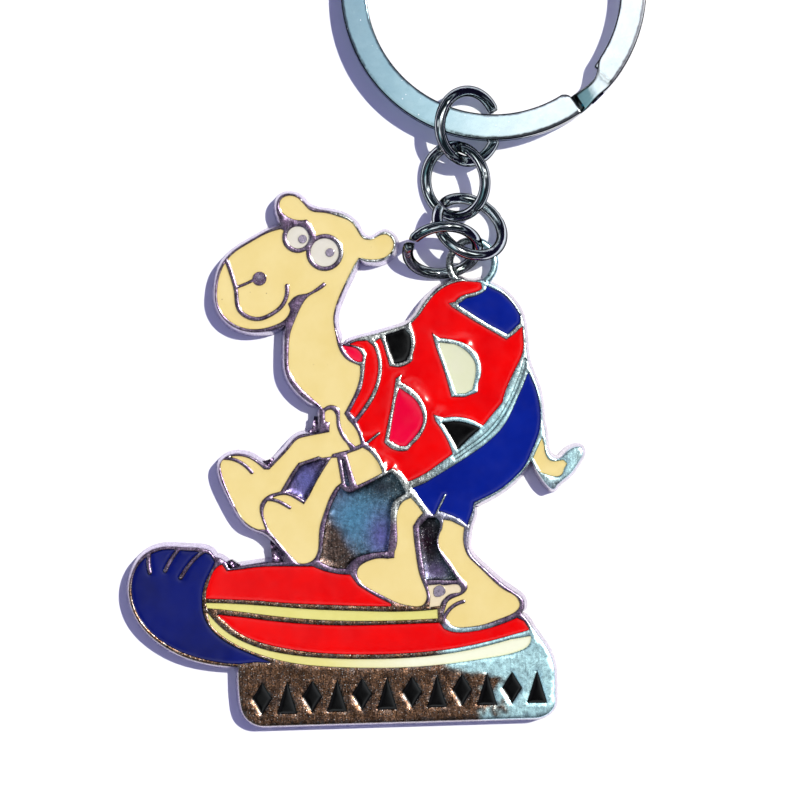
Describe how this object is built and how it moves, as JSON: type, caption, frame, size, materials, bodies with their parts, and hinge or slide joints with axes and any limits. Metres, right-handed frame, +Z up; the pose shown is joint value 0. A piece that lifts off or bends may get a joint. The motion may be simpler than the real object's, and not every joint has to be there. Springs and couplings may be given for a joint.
{
  "type": "enamelled pendant keychain",
  "caption": "Cast metal keychain pendant of a cartoon camel riding a board, filled with coloured enamel, on a short chain of jump rings and a flat split ring.",
  "frame": {"origin": "middle of the keychain's footprint, on the surface that it lies on", "axes": "+Z up out of the pendant's face, +Y from the pendant towards the split ring, +X to the right seen from above"},
  "size_m": [0.0512, 0.0878, 0.0064],
  "materials": {
    "cast_nickel": "polished nickel plate over a zinc die casting, rough in the recesses",
    "polished_nickel": "polished nickel plate on flat steel wire",
    "ring_wire": "polished nickel plate on round steel wire",
    "cream_enamel": "glossy soft enamel",
    "ivory_enamel": "glossy soft enamel",
    "red_enamel": "glossy soft enamel",
    "crimson_enamel": "glossy soft enamel",
    "blue_enamel": "glossy soft enamel",
    "black_enamel": "glossy soft enamel",
    "black_infill": "black paint wiped into the frieze"
  },
  "bodies": {
    "split_ring": {"split_ring": "polished_nickel"},
    "jump_ring_1": {"jump_ring_1": "ring_wire"},
    "jump_ring_2": {"jump_ring_2": "ring_wire"},
    "jump_ring_3": {"jump_ring_3": "ring_wire"},
    "jump_ring_4": {"jump_ring_4": "ring_wire"},
    "pendant": {"board_edge_enamel": "cream_enamel", "board_lower_enamel": "red_enamel", "board_nose_enamel": "blue_enamel", "board_stripe_enamel": "cream_enamel", "board_top_enamel": "red_enamel", "collar_enamel": "red_enamel", "collar_lining_enamel": "crimson_enamel", "dark_patch_enamel": "crimson_enamel", "far_foreleg_enamel": "cream_enamel", "far_hind_leg_enamel": "cream_enamel", "flank_patch_enamel": "black_enamel", "head_enamel": "cream_enamel", "heel_enamel": "ivory_enamel", "hump_patch_enamel": "blue_enamel", "jersey_enamel": "red_enamel", "left_eye_enamel": "ivory_enamel", "light_patch_enamel": "ivory_enamel", "near_foreleg_enamel": "cream_enamel", "near_hind_leg_enamel": "cream_enamel", "pendant_casting": "cast_nickel", "plate_infill": "black_infill", "right_eye_enamel": "ivory_enamel", "shorts_enamel": "blue_enamel", "shoulder_patch_enamel": "black_enamel", "tail_enamel": "cream_enamel", "thigh_enamel": "cream_enamel"}
  },
  "joints": [
    {"name": "ring_1_travel", "type": "hinge", "parent": "split_ring", "child": "jump_ring_1", "pos_m": [0.01058, 0.02887, 0.00194], "axis": [0, 0.0523, 0.9986], "continuous": true},
    {"name": "ring_2_swing", "type": "hinge", "parent": "jump_ring_1", "child": "jump_ring_2", "pos_m": [0.00694, 0.01217, 0.00353], "axis": [0.7375, -0.4101, -0.5365], "range_deg": [-60, 20]},
    {"name": "ring_3_swing", "type": "hinge", "parent": "jump_ring_2", "child": "jump_ring_3", "pos_m": [0.00579, 0.00684, 0.00141], "axis": [0.7768, -0.4332, 0.4571], "range_deg": [-45, 35]},
    {"name": "ring_4_swing", "type": "hinge", "parent": "jump_ring_3", "child": "jump_ring_4", "pos_m": [0.00542, 0.00484, 0.00477], "axis": [0.4367, -0.811, 0.3893], "range_deg": [-60, 0]},
    {"name": "pendant_swing", "type": "hinge", "parent": "jump_ring_4", "child": "pendant", "pos_m": [0.0085, 0.00192, 0.0018], "axis": [-1, 0, 0], "range_deg": [0, 45]}
  ]
}
